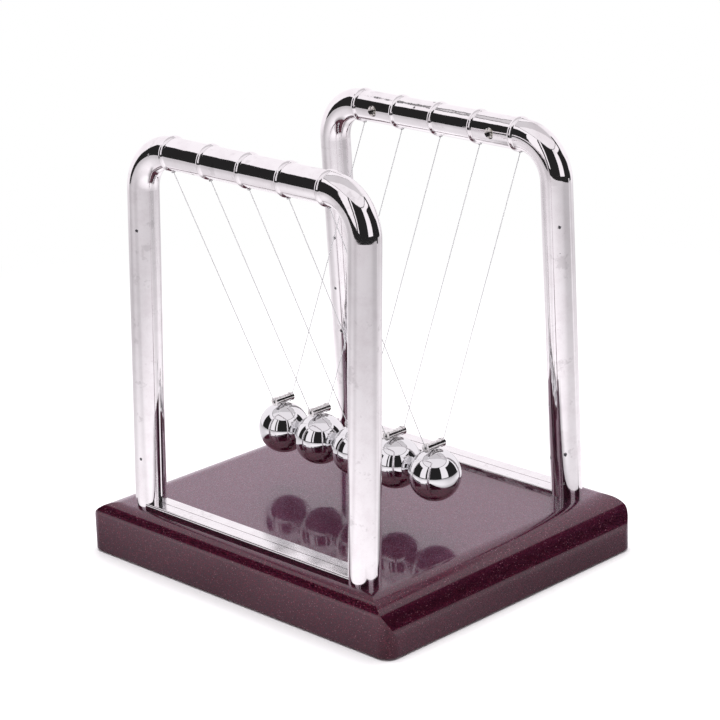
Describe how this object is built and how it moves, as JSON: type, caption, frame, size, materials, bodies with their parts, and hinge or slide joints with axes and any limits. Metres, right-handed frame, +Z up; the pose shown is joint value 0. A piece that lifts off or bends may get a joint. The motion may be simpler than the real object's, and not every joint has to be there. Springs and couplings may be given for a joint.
{
  "type": "newtons cradle",
  "caption": "Desk Newton's cradle: a row of touching steel balls on V-shaped nylon lines between two chrome-plated frames, standing on a hollow base with a rounded top edge.",
  "frame": {"origin": "middle of the underside, on the plane the four rubber feet stand on", "axes": "+X along the row of balls, +Y from the near frame to the far frame, +Z up"},
  "size_m": [0.1436, 0.122, 0.1502],
  "materials": {
    "base_lacquer": "metallic maroon lacquer under clear coat, high gloss",
    "cover_plastic": "fine spark-eroded matt",
    "foot_rubber": "matt",
    "frame_plating": "bright chrome plating on ABS",
    "ball_steel": "mirror polished",
    "hanger_steel": "plated, slightly worn",
    "screw_steel": "zinc plated",
    "line_nylon": "clear monofilament"
  },
  "bodies": {
    "stand": {"base_shell": "base_lacquer", "base_cover": "cover_plastic", "rubber_feet": "foot_rubber", "cover_screws": "screw_steel", "near_frame_outer_half": "frame_plating", "near_frame_inner_half": "frame_plating", "near_frame_screws": "screw_steel", "near_post_screws": "screw_steel", "near_line_knots": "line_nylon", "far_frame_outer_half": "frame_plating", "far_frame_inner_half": "frame_plating", "far_frame_screws": "screw_steel", "far_post_screws": "screw_steel", "far_line_knots": "line_nylon"},
    "ball_1_pendulum": {"ball_1": "ball_steel", "hanger_1": "hanger_steel", "line_1": "line_nylon", "near_line_bead_1": "line_nylon", "far_line_bead_1": "line_nylon"},
    "ball_2_pendulum": {"ball_2": "ball_steel", "hanger_2": "hanger_steel", "line_2": "line_nylon", "near_line_bead_2": "line_nylon", "far_line_bead_2": "line_nylon"},
    "ball_3_pendulum": {"ball_3": "ball_steel", "hanger_3": "hanger_steel", "line_3": "line_nylon", "near_line_bead_3": "line_nylon", "far_line_bead_3": "line_nylon"},
    "ball_4_pendulum": {"ball_4": "ball_steel", "hanger_4": "hanger_steel", "line_4": "line_nylon", "near_line_bead_4": "line_nylon", "far_line_bead_4": "line_nylon"},
    "ball_5_pendulum": {"ball_5": "ball_steel", "hanger_5": "hanger_steel", "line_5": "line_nylon", "near_line_bead_5": "line_nylon", "far_line_bead_5": "line_nylon"}
  },
  "joints": [
    {"name": "left_end_swing", "type": "hinge", "parent": "stand", "child": "ball_1_pendulum", "pos_m": [-0.0361, 0, 0.1382], "axis": [0, -1, 0], "range_deg": [-45, 0]},
    {"name": "ball_2_drift", "type": "hinge", "parent": "stand", "child": "ball_2_pendulum", "pos_m": [-0.01805, 0, 0.1382], "axis": [0, -1, 0], "range_deg": [-2.7, 0]},
    {"name": "ball_3_drift", "type": "hinge", "parent": "stand", "child": "ball_3_pendulum", "pos_m": [0, 0, 0.1382], "axis": [0, -1, 0], "range_deg": [0, 2.7]},
    {"name": "ball_4_drift", "type": "hinge", "parent": "stand", "child": "ball_4_pendulum", "pos_m": [0.01805, 0, 0.1382], "axis": [0, -1, 0], "range_deg": [0, 2.7]},
    {"name": "right_end_swing", "type": "hinge", "parent": "stand", "child": "ball_5_pendulum", "pos_m": [0.0361, 0, 0.1382], "axis": [0, -1, 0], "range_deg": [0, 45]}
  ],
  "couplings": [
    {"joint": "ball_2_drift", "follows": "left_end_swing", "ratio": 0.06},
    {"joint": "ball_3_drift", "follows": "right_end_swing", "ratio": 0.06},
    {"joint": "ball_4_drift", "follows": "right_end_swing", "ratio": 0.06}
  ]
}
